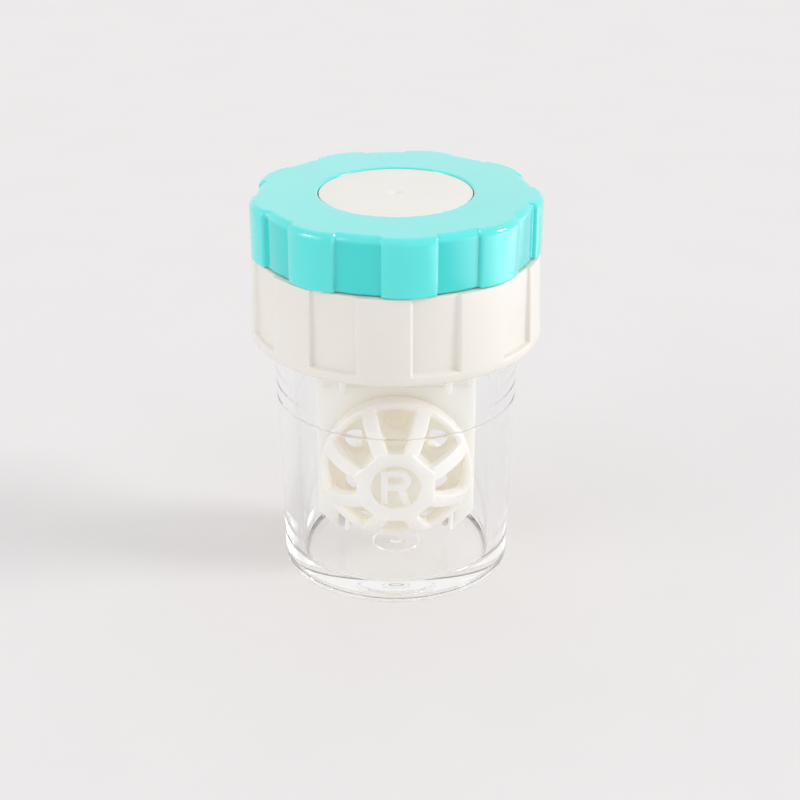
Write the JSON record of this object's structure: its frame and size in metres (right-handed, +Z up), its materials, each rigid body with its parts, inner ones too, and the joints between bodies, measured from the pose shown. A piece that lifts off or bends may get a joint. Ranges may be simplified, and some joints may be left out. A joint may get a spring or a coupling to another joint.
{
  "type": "contact lens case",
  "caption": "Barrel contact lens case: clear screw-top cup with a grip collar and a lobed knob that spins a lens holder with hinged domed baskets.",
  "frame": {"origin": "centre of the cup's foot, on the surface that the case stands on", "axes": "+Z up along the screw axis; -Y is the front, where the right-eye basket faces; +X to the right seen from the front"},
  "size_m": [0.0438, 0.0438, 0.06],
  "materials": {
    "clear_plastic": "clear, polished, colourless",
    "white_plastic": "warm white, satin gloss",
    "turquoise_plastic": "turquoise, glossy",
    "silicone": "translucent white silicone, matt"
  },
  "bodies": {
    "cup": {"cup": "clear_plastic"},
    "gasket": {"cap_gasket": "silicone"},
    "collar": {"screw_collar": "white_plastic"},
    "rotor": {"knob": "turquoise_plastic", "centre_disc": "white_plastic", "spindle": "white_plastic", "spindle_seal": "silicone", "lens_frame": "white_plastic"},
    "right_basket": {"basket_right": "white_plastic"},
    "left_basket": {"basket_left": "white_plastic"}
  },
  "joints": [
    {"name": "cap_rise", "type": "slide", "parent": "cup", "child": "gasket", "axis": [0, 0, 1], "range_m": [0, 0.00451]},
    {"name": "cap_turn", "type": "hinge", "parent": "gasket", "child": "collar", "pos_m": [0, 0, 0.045], "axis": [0, 0, 1], "range_deg": [0, 450]},
    {"name": "knob_spin", "type": "hinge", "parent": "collar", "child": "rotor", "pos_m": [0, 0, 0.0513], "axis": [0, 0, 1], "continuous": true},
    {"name": "right_basket_swing", "type": "hinge", "parent": "rotor", "child": "right_basket", "pos_m": [0, 0, 0.0056], "axis": [1, 0, 0], "range_deg": [0, 17]},
    {"name": "left_basket_swing", "type": "hinge", "parent": "rotor", "child": "left_basket", "pos_m": [0, 0, 0.0056], "axis": [-1, 0, 0], "range_deg": [0, 17]}
  ],
  "couplings": [
    {"joint": "cap_rise", "follows": "cap_turn", "m_per_rad": 0.00057296}
  ]
}
